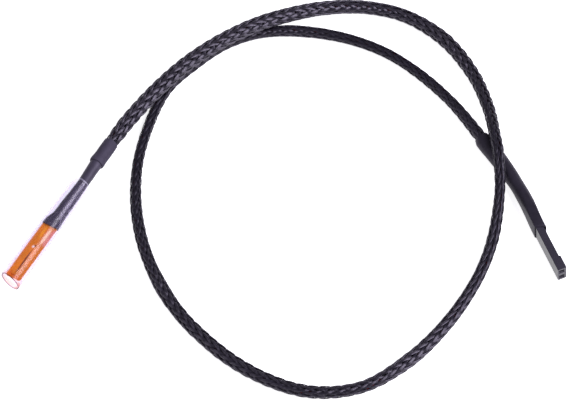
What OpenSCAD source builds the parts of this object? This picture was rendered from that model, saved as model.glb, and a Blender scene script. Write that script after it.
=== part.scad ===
// Flat film temperature sensor on a braided two-wire lead with a two-way socket.
// The probe lies on the floor with its axis along X and the sensing tip at -X.
// The origin is on the floor under the middle of the probe, from the rim of the
// clear tube to the rear end of the splice sleeve. The lead leaves towards +X,
// runs round in one loose loop and ends in a housing that stands on its edge.

/* [Clear tube] */
// Outside diameter of the clear tube at the sensing tip
tube_od = 5.6; // [5.5:0.1:6]
// Wall of the clear tube
tube_wall = 0.3; // [0.2:0.05:0.3]
// Length of the clear tube
tube_len = 33.5; // [30:0.5:40]
// Length of its straight stretch behind the tip
tube_straight = 12; // [10:0.5:17]
// Outside diameter at its shrunk rear end
tube_rear_od = 4.8; // [4.6:0.1:5.4]

/* [Sensing film] */
// Width of the two laminated films
film_w = 4.2; // [3.6:0.1:4.2]
// Length of the films
film_len = 18.3; // [16:0.1:19]
// Distance from the rim of the tube back to the tip of the films
film_inset = 1.2; // [0.6:0.1:2]
// Thickness of one film
film_t = 0.12; // [0.08:0.01:0.15]
// Corner radius at the tip of the films
film_corner = 0.6; // [0.3:0.1:1]
// Width of one lead foil
foil_w = 1.2; // [0.9:0.05:1.3]
// Gap between the two lead foils
foil_gap = 0.7; // [0.4:0.05:0.9]
// Thickness of the lead foils
foil_t = 0.06; // [0.04:0.01:0.08]
// Distance from the tip of the films back to the foils
foil_margin = 0.7; // [0.5:0.1:1.2]

/* [Thermistor chip] */
// Length of the chip along the film
chip_l = 0.8; // [0.6:0.1:1.2]
// Width of the chip across the two foils
chip_w = 1.5; // [1.2:0.1:1.8]
// Height of the chip
chip_h = 0.3; // [0.2:0.05:0.5]

/* [Wires] */
// Outside diameter of one insulated wire
wire_od = 1; // [0.9:0.02:1.02]
// Diameter of its stranded conductor
core_d = 0.4; // [0.3:0.02:0.44]
// Gap between the two wires side by side
wire_gap = 0.06; // [0.04:0.02:0.1]
// Diameter of a solder joint between foil and conductor
solder_d = 0.8; // [0.7:0.05:0.9]
// Length of a solder joint
solder_len = 2.2; // [1.6:0.1:2.4]

/* [Splice sleeve and collar] */
// Wall of the splice sleeve
sleeve_wall = 0.24; // [0.18:0.02:0.26]
// Length of film that the flared mouth of the sleeve covers
sleeve_lap = 1; // [0.6:0.1:2]
// Half height of the flared mouth
flare_half_h = 0.6; // [0.55:0.05:0.8]
// Length over which the sleeve turns from flat to round
flare_len = 3; // [2.5:0.5:4]
// Diameter of the sleeve over the solder joints
joint_d = 3.44; // [3.36:0.02:3.5]
// Diameter of its waist, at the rear end of the tube
waist_d = 2.86; // [2.74:0.02:3]
// Diameter of its rear end, in the collar
sleeve_end_d = 3.3; // [3:0.05:3.4]
// Shift of the sleeve to the side over the solder joints
joint_shift = 0.3; // [0:0.05:0.3]
// Drop of the sleeve below the films over the solder joints
joint_drop = 0.15; // [0:0.05:0.15]
// Length of the sleeve behind the clear tube
sleeve_tail = 8.5; // [7:0.5:12]
// Length of the collar over the end of the braid
collar_len = 7.4; // [6:0.2:10]
// Length of splice sleeve that the collar covers
collar_lap = 1.4; // [1:0.1:2.5]
// Wall of the collar
collar_wall = 0.44; // [0.36:0.02:0.5]
// Drop of the sleeve below the axis of the tube, from the tube's rear end on
sleeve_drop = 0.4; // [0:0.05:0.4]
// Shift of the sleeve to the side at the tube's rear end
sleeve_shift = 0.25; // [0:0.05:0.3]

/* [Lead] */
// Diameter of the braided lead
cord_d = 2.8; // [2.5:0.1:2.8]
// Clearance between the braid and the sleeves shrunk over it
braid_fit = 0.1; // [0.1:0.02:0.14]

/* [Connector boot] */
// Wall of the boot
boot_wall = 0.38; // [0.3:0.02:0.38]
// Length of lead that the boot grips
boot_grip = 5; // [3:0.5:5]
// Length of housing that the boot covers, in the middle of its slanting mouth
boot_lap = 0.9; // [0.8:0.1:1.4]
// Slant of that mouth, as length per width
mouth_slant = 0.4; // [0:0.05:0.45]
// Gap between that mouth and the latch side of the housing
mouth_gap = 0.4; // [0.03:0.01:0.45]

/* [Connector housing] */
// Pitch of the sockets
pitch = 2.54; // [2.54:0.01:2.6]
// Thickness of the housing
housing_t = 2.34; // [2.34:0.02:2.54]
// Length of the housing
housing_len = 14; // [13.6:0.1:15]
// Height of the raised block beside the latches
ledge_h = 0.42; // [0.3:0.01:0.42]
// Length of that block from the mating face
ledge_len = 3.8; // [3:0.1:4.2]
// Height of a terminal cavity, in the thickness of the housing
cavity_h = 1.46; // [1.42:0.01:1.48]
// Width of a terminal cavity, along the row of sockets
cavity_w = 1.8; // [1.76:0.01:1.9]
// Thickness of the wall at the mating face
face_wall = 0.9; // [0.6:0.1:1.2]
// Side of a square pin entry
entry_w = 0.9; // [0.7:0.05:1]
// Side of the funnel round a pin entry
funnel_w = 1.5; // [1.2:0.05:1.7]
// Width of a latch tongue
tongue_w = 0.9; // [0.7:0.05:1]
// Length of a latch tongue
tongue_len = 3.4; // [2.5:0.1:4]

/* [Terminals] */
// Thickness of the terminal strip
strip_t = 0.18; // [0.14:0.01:0.2]
// Length of the contact box
box_len = 4; // [3.4:0.1:4.4]
// Length of each crimp barrel
crimp_len = 1.8; // [1.2:0.1:2.2]

/* [Hidden] */
$fn = 48;

// Colours that more than one piece has
shrink_black = [0.25, 0.23, 0.29];
copper = [0.8, 0.5, 0.3];
wire_red = [0.7, 0.08, 0.07];
wire_black = [0.08, 0.08, 0.09];

// Clearance between pieces that fit one another
fit = 0.03;

// Probe, measured from the rim of the tube at the tip
tube_r = tube_od / 2;
tube_rear_r = tube_rear_od / 2;
axis_z = tube_r;
head_len = tube_len + sleeve_tail;
tip_x = -head_len / 2;
head_end_x = head_len / 2;

// Films and foils lie flat in the plane of the axis
film_x = tip_x + film_inset;
film_end_x = film_x + film_len;
foil_x = film_x + foil_margin;
foil_z = -foil_t / 2;
chip_inset = 0.3;
foil_flank = 0.05;
chip_x = foil_x + chip_inset;

// The pair of wires, side by side
core_r = core_d / 2;
wire_r = wire_od / 2;
wire_y = wire_r + wire_gap / 2;
core_z = foil_t / 2 + core_r + fit / 3;

// Splice sleeve: flat mouth over the film, round over the wires
sleeve_x = film_end_x - sleeve_lap;
flare_x = film_end_x + 0.1;
flare_half_w = film_w / 2 + fit + 0.6 * sleeve_wall;
flare_corner = 0.45;
flare_bore_corner = 0.12;
solder_x = flare_x + flare_len * 0.55;
tail_x = solder_x + solder_len;
bare_len = 0.4;
insulation_x = tail_x + bare_len;

// Collar over the sleeve's end and the braid's end
cord_r = cord_d / 2;
sleeve_end_r = sleeve_end_d / 2;
braid_bore_r = cord_r + braid_fit;
collar_r = braid_bore_r + collar_wall;
collar_x = head_end_x - collar_lap;

// Housing and its place on the floor: middle of the rear face, heading and lean
housing_h = 2 * pitch;
plug_x = 57;
plug_y = -107.7;
plug_heading = -129.7;
plug_roll = 6;
plug_z = housing_t / 2 * sin(plug_roll) + housing_h / 2 * cos(plug_roll) + boot_wall / 2 + 2 * fit;
latch_y = housing_t / 2 - ledge_h;
ledge_x = housing_len - ledge_len;
latch_wall = 0.2;
slit_w = 0.2;
cavity_y = latch_y - latch_wall - cavity_h / 2;
cavity_end_x = housing_len - face_wall;
box_play = 0.05;
box_x = cavity_end_x - box_play - box_len;
tongue_x = box_x - 2 * box_play;
box_h = cavity_h - 2 * box_play;
box_w = cavity_w - 2 * box_play;

// Crimps, measured from the housing's rear face
insulation_crimp_x = 1.2;
crimp_gap = 1;
core_crimp_x = insulation_crimp_x + crimp_len + crimp_gap;
wire_end_x = insulation_crimp_x + crimp_len + 0.3;
core_end_x = core_crimp_x + crimp_len + 0.2;
strip_w = 0.7;
rear_y = (latch_y - housing_t / 2) / 2;
rear_half_y = (latch_y + housing_t / 2) / 2;

// Axis of the probe: behind the solder joints it leans on the tube's wall, and from
// the tube's rear end to the collar it comes back to the middle
tube_end_x = tip_x + tube_len;
function head_axis(x) =
    let (
        u = ease((x - tail_x) / (tube_end_x - tail_x)),
        back = ease((x - tube_end_x) / (collar_x - tube_end_x))
    )
    [x, -sleeve_shift * u * (1 - back), axis_z - sleeve_drop * u];

// Route of the lead over the floor. It leaves the collar, rises over its own
// returning stretch, goes round the loop, passes over the connector boot and
// comes back under itself to the boot.
route = [
    head_axis(head_end_x), head_axis(28.4), [36, -0.7, 3.1], [46.5, -2.5, 4.1],
    [56.9, -5, 4.4], [66.8, -8.9, 4.5], [75.7, -13.8, 4.4], [84.3, -19.5, 3],
    [92.4, -26.6, 1.5], [98.2, -36.1, 1.4], [100.8, -47, 1.4], [99, -59, 1.4],
    [93, -70.5, 1.4], [84.7, -79.2, 2.8], [75.9, -85.6, 5.1], [70.5, -89.3, 5.6],
    [61.9, -94.1, 3.8], [50, -98.4, 1.5], [37, -100.4, 1.4], [22, -99.7, 1.4],
    [8.1, -96.3, 1.4], [-3.8, -89.8, 1.4], [-11.2, -79.1, 1.4], [-13.3, -66, 1.4],
    [-11.7, -53, 1.4], [-7, -39.5, 1.4], [0.9, -27.4, 1.4], [11.3, -17.3, 1.4],
    [23.4, -9.8, 1.4], [35.9, -5.4, 1.4], [49, -3.4, 1.4], [60.1, -5.8, 1.4],
    [70.1, -9.8, 1.4], [78.2, -16.9, 1.4], [84.2, -27.9, 1.4], [87.5, -41, 1.4],
    [87, -54, 1.4], [82.5, -69, 1.4], [75.5, -82, 1.9], [73, -86.5, 1.9]
];
rings_per_span = 2;
cord_sides = 8;

// Helpers for curves and lofts
function unit(v) = v / norm(v);
function mix(a, b, u) = a + (b - a) * u;
function ease(u) = u <= 0 ? 0 : u >= 1 ? 1 : u * u * (3 - 2 * u);

// Point and direction on a smooth curve through a list of points
function curve_terms(p, i) =
    let (
        b = p[i],
        c = p[i + 1],
        a = i > 0 ? p[i - 1] : 2 * b - c,
        d = i + 2 < len(p) ? p[i + 2] : 2 * c - b
    )
    [b, (c - a) / 2, (2 * a - 5 * b + 4 * c - d) / 2, (3 * b - a - 3 * c + d) / 2];
function curve_point(k, u) = k[0] + k[1] * u + k[2] * u * u + k[3] * u * u * u;
function curve_slope(k, u) = unit(k[1] + 2 * k[2] * u + 3 * k[3] * u * u);

// A frame is a centre, a sideways direction and an upward direction
function frame(centre, along, roll = 0) =
    let (
        side = unit(cross([0, 0, 1], along)),
        up = cross(unit(along), side)
    )
    [centre, side * cos(roll) + up * sin(roll), up * cos(roll) - side * sin(roll)];

// A rectangle with round corners, which is a circle where its three sizes agree
function round_rect(half_y, half_z, r, steps = 6) = [
    for (corner = [0:3])
        for (i = [0:steps - 1])
            let (
                a = 90 * corner + 90 * (i + 0.5) / steps,
                sy = corner == 0 || corner == 3 ? 1 : -1,
                sz = corner < 2 ? 1 : -1
            )
            [sy * (half_y - r) + r * cos(a), sz * (half_z - r) + r * sin(a)]
];
function circle_ring(r, sides) =
    [for (j = [0:sides - 1]) [r * cos(360 * j / sides), r * sin(360 * j / sides)]];
function place_ring(ring, f, shift = [0, 0]) =
    [for (q = ring) f[0] + f[1] * (q[0] + shift[0]) + f[2] * (q[1] + shift[1])];

// Closed skin through rings of points, with an inner wall where one is given
module skin(outer, inner = []) {
    n = len(outer);
    m = len(outer[0]);
    hollow = len(inner) > 0;
    base = n * m;
    outside = [
        for (i = [0:n - 2], j = [0:m - 1])
            let (a = i * m + j, b = i * m + (j + 1) % m)
            each [[a, a + m, b + m], [a, b + m, b]]
    ];
    inside = !hollow ? [] : [
        for (i = [0:n - 2], j = [0:m - 1])
            let (a = base + i * m + j, b = base + i * m + (j + 1) % m)
            each [[a, b + m, a + m], [a, b, b + m]]
    ];
    last = (n - 1) * m;
    ends = !hollow
        ? [[for (j = [0:m - 1]) j], [for (j = [m - 1:-1:0]) last + j]]
        : [
            for (j = [0:m - 1])
                let (k = (j + 1) % m)
                each [
                    [j, k, base + k], [j, base + k, base + j],
                    [last + j, base + last + k, last + k], [last + j, base + last + j, base + last + k]
                ]
        ];
    points = [for (ring = concat(outer, inner)) each ring];
    polyhedron(points, concat(outside, inside, ends), convexity = 10);
}

// The lead: a ring at each route point and one between
cord_frames = concat(
    [
        for (i = [0:len(route) - 2], s = [0:rings_per_span - 1])
            let (
                k = curve_terms(route, i),
                u = s / rings_per_span,
                p = curve_point(k, u)
            )
            frame([p[0], p[1], max(p[2], cord_r)], curve_slope(k, u))
    ],
    [frame(route[len(route) - 1], route[len(route) - 1] - route[len(route) - 2])]
);

// The plug end runs straight in the grip, then bends to the housing's rear face
cord_end = route[len(route) - 1];
cord_dir = unit(cord_end - route[len(route) - 2]);
plug_dir = [cos(plug_heading), sin(plug_heading), 0];
plug_rear = [plug_x, plug_y, plug_z];
reach = norm(plug_rear - cord_end);
cord_share = 0.6;
plug_share = 0.25;
bend = [
    cord_end, cord_end + cord_dir * reach * cord_share,
    plug_rear - plug_dir * reach * plug_share, plug_rear
];
function bend_point(u) =
    bend[0] * pow(1 - u, 3) + bend[1] * 3 * u * pow(1 - u, 2)
    + bend[2] * 3 * u * u * (1 - u) + bend[3] * pow(u, 3);
function bend_slope(u) =
    (bend[1] - bend[0]) * pow(1 - u, 2) + (bend[2] - bend[1]) * 2 * u * (1 - u)
    + (bend[3] - bend[2]) * u * u;
bend_steps = 10;
bend_frames = [
    for (i = [0:bend_steps])
        let (u = i / bend_steps)
        frame(bend_point(u), bend_slope(u), plug_roll * ease(u))
];
function grip_frame(back) = frame(cord_end - cord_dir * back, cord_dir);
function plug_frame(x) = frame(plug_rear + plug_dir * x, plug_dir, plug_roll);

module at_plug() {
    translate(plug_rear)
        rotate([plug_roll, 0, plug_heading])
            children();
}

module at_tip() {
    translate([0, 0, axis_z])
        children();
}

// Clear tube: straight over the film, drawn down towards the lead, round rims
module clear_tube() {
    rim = tube_wall / 2;
    color([0.86, 0.84, 0.95, 0.35])
        translate([tip_x, 0, axis_z])
            rotate([0, 90, 0])
                rotate_extrude($fn = 96) {
                    translate([tube_r - rim, rim])
                        circle(rim, $fn = 24);
                    translate([tube_rear_r - rim, tube_len - rim])
                        circle(rim, $fn = 24);
                    polygon([
                        [tube_r, rim], [tube_r, tube_straight], [tube_rear_r, tube_len - rim],
                        [tube_rear_r - tube_wall, tube_len - rim], [tube_r - tube_wall, tube_straight],
                        [tube_r - tube_wall, rim]
                    ]);
                }
}

// Outline of the films, with round corners at the tip
module film_outline() {
    for (side = [-1, 1])
        translate([film_x + film_corner, side * (film_w / 2 - film_corner)])
            circle(film_corner);
    translate([film_x, film_corner - film_w / 2])
        square([film_corner * 2, film_w - 2 * film_corner]);
    translate([film_x + film_corner, -film_w / 2])
        square([film_len - film_corner, film_w]);
}

// Outline of one foil: wide in the film, narrow where it is soldered
module foil_outline(side, grow = 0) {
    inner = foil_gap / 2 - grow;
    outer = foil_gap / 2 + foil_w + grow;
    tail = core_r + foil_flank + grow;
    scale([1, side])
        polygon([
            [foil_x - grow, inner], [film_end_x, inner], [solder_x, wire_y - tail],
            [tail_x, wire_y - tail], [tail_x, wire_y + tail], [solder_x, wire_y + tail],
            [film_end_x, outer], [foil_x - grow, outer]
        ]);
}

module film_base() {
    color([0.8, 0.43, 0.13, 0.8])
        at_tip()
            translate([0, 0, foil_z - film_t])
                linear_extrude(film_t)
                    film_outline();
}

// Upper film, with pockets for the foils and a blister over the chip
module film_cover() {
    blister = 0.25;
    color([0.85, 0.48, 0.16, 0.8])
        at_tip()
            difference() {
                union() {
                    translate([0, 0, foil_z])
                        linear_extrude(foil_t + film_t)
                            film_outline();
                    translate([chip_x - blister, -chip_w / 2 - blister, foil_z])
                        cube([chip_l + 2 * blister, chip_w + 2 * blister, foil_t + chip_h + film_t]);
                }
                for (side = [-1, 1])
                    translate([0, 0, foil_z - 1])
                        linear_extrude(foil_t + 1 + fit / 3)
                            foil_outline(side, fit);
                translate([chip_x - fit, -chip_w / 2 - fit, foil_z - 1])
                    cube([chip_l + 2 * fit, chip_w + 2 * fit, 1 + foil_t + chip_h + fit]);
            }
}

module thermistor_chip() {
    color([0.16, 0.15, 0.17])
        at_tip()
            translate([chip_x, -chip_w / 2, foil_z + foil_t])
                cube([chip_l, chip_w, chip_h]);
}

module lead_foil(side) {
    color([0.85, 0.62, 0.3])
        at_tip()
            translate([0, 0, foil_z])
                linear_extrude(foil_t)
                    foil_outline(side);
}

// One joint: solder round the conductor and the tail of the foil
module solder_joint(side) {
    color([0.75, 0.75, 0.78])
        at_tip()
            difference() {
                translate([solder_x, side * wire_y, core_z - core_r])
                    rotate([0, 90, 0])
                        rotate_extrude()
                            polygon([
                                [0, 0], [solder_d * 0.3, 0], [solder_d * 0.46, solder_len * 0.2],
                                [solder_d * 0.5, solder_len * 0.5], [solder_d * 0.46, solder_len * 0.8],
                                [solder_d * 0.3, solder_len], [0, solder_len]
                            ]);
                translate([solder_x - 1, side * wire_y, core_z])
                    rotate([0, 90, 0])
                        cylinder(h = solder_len + 2, r = core_r + fit / 3);
                translate([0, 0, foil_z - fit / 3])
                    linear_extrude(foil_t + 2 * fit / 3)
                        foil_outline(side, fit / 3);
            }
}

// Rings of one wire of the probe end, at given places along the axis
head_steps = 8;
head_sides = 16;
insulation_stations = [for (i = [0:head_steps]) mix(insulation_x, head_end_x, i / head_steps)];
function head_frame(x) = frame(head_axis(x), [1, 0, 0]);
function head_rings(stations, side, r) =
    [for (x = stations) place_ring(circle_ring(r, head_sides), head_frame(x), [side * wire_y, core_z])];

module core_head(side, tint) {
    color(tint)
        skin(head_rings(concat([solder_x], insulation_stations), side, core_r));
}

module insulation_head(side, tint) {
    color(tint)
        skin(
            head_rings(insulation_stations, side, wire_r),
            head_rings(insulation_stations, side, core_r + fit / 3)
        );
}

// Splice sleeve: flat mouth on the film, widest over the solder joints, with a waist
// at the tube's rear end. Each station is a place, a share of roundness and a radius.
sleeve_steps = 6;
flare_end_x = flare_x + flare_len;
joint_r = joint_d / 2;
sleeve_stations = concat(
    [[sleeve_x, 0, joint_r]],
    [
        for (i = [0:sleeve_steps])
            [mix(flare_x, flare_end_x, i / sleeve_steps), ease(i / sleeve_steps), joint_r]
    ],
    [
        for (i = [1:sleeve_steps])
            [mix(flare_end_x, tube_end_x, i / sleeve_steps), 1, mix(joint_r, waist_d / 2, i / sleeve_steps)]
    ],
    [
        for (u = [0.5, 1])
            [mix(tube_end_x, collar_x, u), 1, mix(waist_d / 2, sleeve_end_r, u)]
    ],
    [[head_end_x, 1, sleeve_end_r]]
);

// Lean of the sleeve away from the wires, full at the rear end of the flare
function sleeve_lean(s) =
    let (w = s[1] * (1 - ease((s[0] - flare_end_x) / (tube_end_x - flare_end_x))))
    [-joint_shift * w, -joint_drop * w];
function sleeve_ring(s, half_w, half_h, corner, r) =
    place_ring(
        round_rect(mix(half_w, r, s[1]), mix(half_h, r, s[1]), mix(corner, r, s[1])),
        head_frame(s[0]), sleeve_lean(s)
    );

module splice_sleeve() {
    bore_half_h = flare_half_h - sleeve_wall;
    color(shrink_black)
        skin(
            [
                for (s = sleeve_stations)
                    sleeve_ring(s, flare_half_w, flare_half_h, flare_corner, s[2])
            ],
            [
                for (s = sleeve_stations)
                    sleeve_ring(s, film_w / 2 + fit, bore_half_h, flare_bore_corner, s[2] - sleeve_wall)
            ]
        );
}

// Collar shrunk over the end of the splice sleeve and the end of the braid
module collar() {
    sleeve_bore_r = sleeve_end_r + fit;
    bead = 0.1;
    dip = 0.03;
    rim = collar_wall * 0.4;
    step = 0.2;
    color(shrink_black)
        translate([collar_x, 0, axis_z - sleeve_drop])
            rotate([0, 90, 0])
                rotate_extrude($fn = 64)
                    polygon([
                        [sleeve_bore_r, 0], [collar_r - rim / 2, 0],
                        [collar_r + bead, collar_len * 0.1], [collar_r - dip, collar_len * 0.35],
                        [collar_r, collar_len * 0.75], [collar_r - dip, collar_len * 0.95],
                        [collar_r - rim, collar_len], [braid_bore_r, collar_len],
                        [braid_bore_r, collar_lap + step], [sleeve_bore_r, collar_lap]
                    ]);
}

// Braided lead as one plain tube along the route
module braided_lead() {
    color([0.13, 0.12, 0.16])
        skin([for (f = cord_frames) place_ring(circle_ring(cord_r, cord_sides), f)]);
}

// Boot shrunk over the lead, the two wires and the rear of the housing
function boot_ring(f, m, grow) =
    place_ring(
        round_rect(
            mix(braid_bore_r, rear_half_y + (fit + mouth_gap) / 2, m) + grow,
            mix(braid_bore_r, housing_h / 2 + fit, m) + grow,
            mix(braid_bore_r, fit, m) + grow),
        f, [(rear_y + (mouth_gap - fit) / 2) * m, 0]);
boot_mouth = plug_frame(boot_lap);
flatten_from = 0.3;
flatten_to = 0.95;
boot_sections = concat(
    [for (back = [boot_grip, boot_grip * 0.5]) [grip_frame(back), 0]],
    [
        for (i = [0:bend_steps])
            [bend_frames[i], ease((i / bend_steps - flatten_from) / (flatten_to - flatten_from))]
    ],
    [[[boot_mouth[0], boot_mouth[1] + plug_dir * mouth_slant, boot_mouth[2]], 1]]
);

module connector_boot() {
    color(shrink_black)
        skin(
            [for (s = boot_sections) boot_ring(s[0], s[1], boot_wall * (1 - s[1] / 2))],
            [for (s = boot_sections) boot_ring(s[0], s[1], 0)]
        );
}

// Path of one wire from the end of the braid to its terminal
wire_run = concat(
    [for (i = [0:bend_steps]) [bend_frames[i], ease(i / bend_steps * 1.1)]],
    [[plug_frame(wire_end_x), 1]]
);
function wire_shift(level, m) = [cavity_y * m, level * mix(wire_y, pitch / 2, m)];
function wire_rings(run, level, r) =
    [for (s = run) place_ring(circle_ring(r, cord_sides), s[0], wire_shift(level, s[1]))];

module insulation_plug(level, tint) {
    color(tint)
        skin(wire_rings(wire_run, level, wire_r), wire_rings(wire_run, level, core_r + fit / 3));
}

module core_plug(level, tint) {
    color(tint)
        skin(wire_rings(concat(wire_run, [[plug_frame(core_end_x), 1]]), level, core_r));
}

// Crimp terminal: contact box with its spring, floor strip and two crimp barrels
module terminal(level) {
    floor_y = -box_h / 2;
    neck = 0.2;
    wing_z = 0.42;
    wing_h = 0.6;
    wing_x = core_crimp_x + crimp_len + 0.1;
    color([0.78, 0.74, 0.6])
        at_plug()
            translate([0, cavity_y, level * pitch / 2]) {
                difference() {
                    translate([box_x, floor_y, -box_w / 2])
                        cube([box_len, box_h, box_w]);
                    translate([box_x - 1, floor_y + strip_t, strip_t - box_w / 2])
                        cube([box_len + 2, box_h - 2 * strip_t, box_w - 2 * strip_t]);
                }
                contact_spring(floor_y + strip_t);
                translate([insulation_crimp_x, floor_y, -strip_w / 2])
                    cube([box_x + neck - insulation_crimp_x, strip_t, strip_w]);
                for (side = [-1, 1])
                    translate([wing_x, floor_y, side * wing_z - strip_t / 2])
                        cube([box_x + neck - wing_x, wing_h, strip_t]);
                crimp_barrel(insulation_crimp_x, wire_r, box_h / 2);
                core_barrel(floor_y);
            }
}

// Leaf inside the contact box, bowed up from the floor to press on the pin
module contact_spring(y0) {
    steps = 10;
    rise = 0.4;
    inset = 0.4;
    leaf_w = 0.8;
    leaf_t = 0.08;
    root = 0.05;
    x0 = box_x + inset;
    span = box_len - 2 * inset;
    translate([0, 0, -leaf_w / 2])
        linear_extrude(leaf_w)
            polygon(concat(
                [for (i = [0:steps]) [x0 + span * i / steps, y0 - root + rise * sin(180 * i / steps)]],
                [for (i = [steps:-1:0]) [x0 + span * i / steps, y0 + leaf_t + rise * sin(180 * i / steps)]]
            ));
}

// Open ring whose wings wrap the insulation from the floor up
module crimp_barrel(x, inner_r, outer_r) {
    seam = 0.24;
    translate([x, 0, 0])
        rotate([0, 90, 0])
            difference() {
                cylinder(h = crimp_len, r = outer_r);
                translate([0, 0, -1])
                    cylinder(h = crimp_len + 2, r = inner_r + fit / 3);
                translate([-seam / 2, 0, -1])
                    cube([seam, outer_r + 1, crimp_len + 2]);
            }
}

// Barrel whose two wings curl down into the bare conductor
module core_barrel(floor_y) {
    lobe = core_r + 0.12;
    rise = 0.04;
    seam = 0.3;
    translate([core_crimp_x, 0, 0])
        difference() {
            union() {
                for (side = [-1, 1])
                    translate([0, rise, side * core_r * 0.8])
                        rotate([0, 90, 0])
                            cylinder(h = crimp_len, r = lobe);
                translate([0, floor_y, -strip_w / 2])
                    cube([crimp_len, -floor_y, strip_w]);
            }
            translate([-1, 0, 0])
                rotate([0, 90, 0])
                    cylinder(h = crimp_len + 2, r = core_r + fit / 3);
            translate([-1, core_r + 0.1, 0])
                rotate([45, 0, 0])
                    cube([crimp_len + 2, seam, seam]);
        }
}

// Housing: thin beside its latches, full thickness at the mating end
module housing_shell() {
    edge = 0.12;
    ramp = 0.25;
    t = housing_t / 2;
    h = housing_h / 2;
    intersection() {
        translate([0, 0, -h])
            linear_extrude(housing_h)
                polygon([
                    [0, -t], [housing_len - edge, -t], [housing_len, edge - t],
                    [housing_len, t - edge], [housing_len - edge, t], [ledge_x + ramp, t],
                    [ledge_x, latch_y], [0, latch_y]
                ]);
        rotate([90, 0, 90])
            linear_extrude(housing_len)
                polygon([
                    [-t + edge, -h], [t - edge, -h], [t, edge - h], [t, h - edge],
                    [t - edge, h], [edge - t, h], [-t, h - edge], [-t, edge - h]
                ]);
    }
}

module connector_housing() {
    hook = 0.25;
    root = 1.2;
    half_wall_y = latch_y - latch_wall / 2;
    groove = 0.3;
    color([0.22, 0.2, 0.25])
        at_plug()
            difference() {
                union() {
                    difference() {
                        housing_shell();
                        for (level = [-1, 1])
                            translate([-1, cavity_y - cavity_h / 2, level * pitch / 2 - cavity_w / 2])
                                cube([cavity_end_x + 1, cavity_h, cavity_w]);
                    }
                    for (level = [-1, 1])
                        translate([0, 0, level * pitch / 2 - tongue_w / 2])
                            linear_extrude(tongue_w)
                                polygon([
                                    [tongue_x - root, half_wall_y], [tongue_x - root, latch_y - latch_wall],
                                    [tongue_x, latch_y - latch_wall - hook], [tongue_x, half_wall_y]
                                ]);
                }
                for (level = [-1, 1])
                    translate([0, 0, level * pitch / 2])
                        socket_cuts();
                translate([-1, latch_y + groove / 6, 0])
                    rotate([45, 0, 0])
                        translate([0, -groove / 2, -groove / 2])
                            cube([ledge_x + 1, groove, groove]);
            }
}

// Slits round a latch tongue, pin entry and the funnel in front of it
module socket_cuts() {
    slit_y = latch_y - latch_wall - fit;
    funnel_depth = 0.4;
    for (side = [-1, 1])
        translate([tongue_x - tongue_len, slit_y, side * (tongue_w + slit_w) / 2 - slit_w / 2])
            cube([tongue_len + slit_w, 1, slit_w]);
    translate([tongue_x, slit_y, -tongue_w / 2 - slit_w])
        cube([slit_w * 2, 1, tongue_w + 2 * slit_w]);
    translate([cavity_end_x - 1, cavity_y - entry_w / 2, -entry_w / 2])
        cube([face_wall + 2, entry_w, entry_w]);
    translate([housing_len + 0.01, cavity_y, 0])
        rotate([0, -90, 0])
            linear_extrude(funnel_depth, scale = entry_w / funnel_w)
                square(funnel_w, center = true);
}

clear_tube();
film_base();
film_cover();
thermistor_chip();
lead_foil(1);  // lead_foil_left
lead_foil(-1);  // lead_foil_right
solder_joint(1);  // solder_joint_left
solder_joint(-1);  // solder_joint_right
splice_sleeve();
core_head(1, copper);  // red_core_head
core_head(-1, copper);  // black_core_head
insulation_head(1, wire_red);  // red_insulation_head
insulation_head(-1, wire_black);  // black_insulation_head
collar();
braided_lead();
connector_boot();
core_plug(1, copper);  // red_core_plug
core_plug(-1, copper);  // black_core_plug
insulation_plug(1, wire_red);  // red_insulation_plug
insulation_plug(-1, wire_black);  // black_insulation_plug
terminal(1);  // terminal_upper
terminal(-1);  // terminal_lower
connector_housing();
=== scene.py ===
import math

import bmesh
import bpy
import numpy as np
from bpy.props import FloatProperty, FloatVectorProperty, IntProperty, PointerProperty
from bpy.types import Operator, Panel, PropertyGroup
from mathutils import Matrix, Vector, noise


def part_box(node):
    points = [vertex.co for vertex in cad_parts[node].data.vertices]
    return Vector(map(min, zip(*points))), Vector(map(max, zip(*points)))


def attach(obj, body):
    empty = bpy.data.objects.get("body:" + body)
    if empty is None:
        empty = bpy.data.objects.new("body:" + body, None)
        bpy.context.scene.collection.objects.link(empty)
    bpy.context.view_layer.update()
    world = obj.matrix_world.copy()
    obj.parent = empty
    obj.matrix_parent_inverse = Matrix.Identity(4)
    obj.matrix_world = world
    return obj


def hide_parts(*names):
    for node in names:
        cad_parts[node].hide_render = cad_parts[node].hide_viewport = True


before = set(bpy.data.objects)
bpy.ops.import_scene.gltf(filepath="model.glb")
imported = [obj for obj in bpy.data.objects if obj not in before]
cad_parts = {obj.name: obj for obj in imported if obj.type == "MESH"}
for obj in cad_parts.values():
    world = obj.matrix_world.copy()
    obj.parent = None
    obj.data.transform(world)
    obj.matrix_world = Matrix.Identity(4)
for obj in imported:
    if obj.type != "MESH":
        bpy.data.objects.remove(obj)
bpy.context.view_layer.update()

bl_info = {
    "name": "Film temperature sensor",
    "version": (1, 0, 0),
    "blender": (4, 5, 0),
    "location": "View3D > Sidebar > Sensor",
    "description": "Dresses the sensor's frame: clear tube, film, sleeves, braided lead and socket housing",
    "category": "Object",
}

MM = 0.001
UP = np.array([0, 0, 1])

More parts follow.
